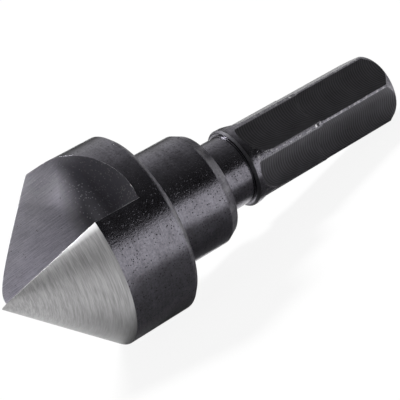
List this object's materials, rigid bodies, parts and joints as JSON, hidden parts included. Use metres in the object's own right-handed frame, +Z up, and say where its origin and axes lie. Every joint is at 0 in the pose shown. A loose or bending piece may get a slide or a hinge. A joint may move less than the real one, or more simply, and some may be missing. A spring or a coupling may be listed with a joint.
{
  "type": "countersink bit",
  "caption": "Countersink bit with a single flute: a ground cutting cone on a short round head, a stepped-down collar and neck, and a milled hexagonal shank.",
  "frame": {"origin": "centre of the footprint, on the surface the bit lies on", "axes": "+X runs along the bit from the point of its cone towards the end of its shank, which dips about ten degrees; +Y is across it, so that -Y is the side the flute opens to; +Z is up"},
  "size_m": [0.0395, 0.016, 0.0165],
  "materials": {
    "black_steel": "black oxide with a satin gloss; the cone is ground bright",
    "ground_steel": "satin ground"
  },
  "bodies": {
    "root": {"countersink_bit": "black_steel"}
  },
  "joints": []
}
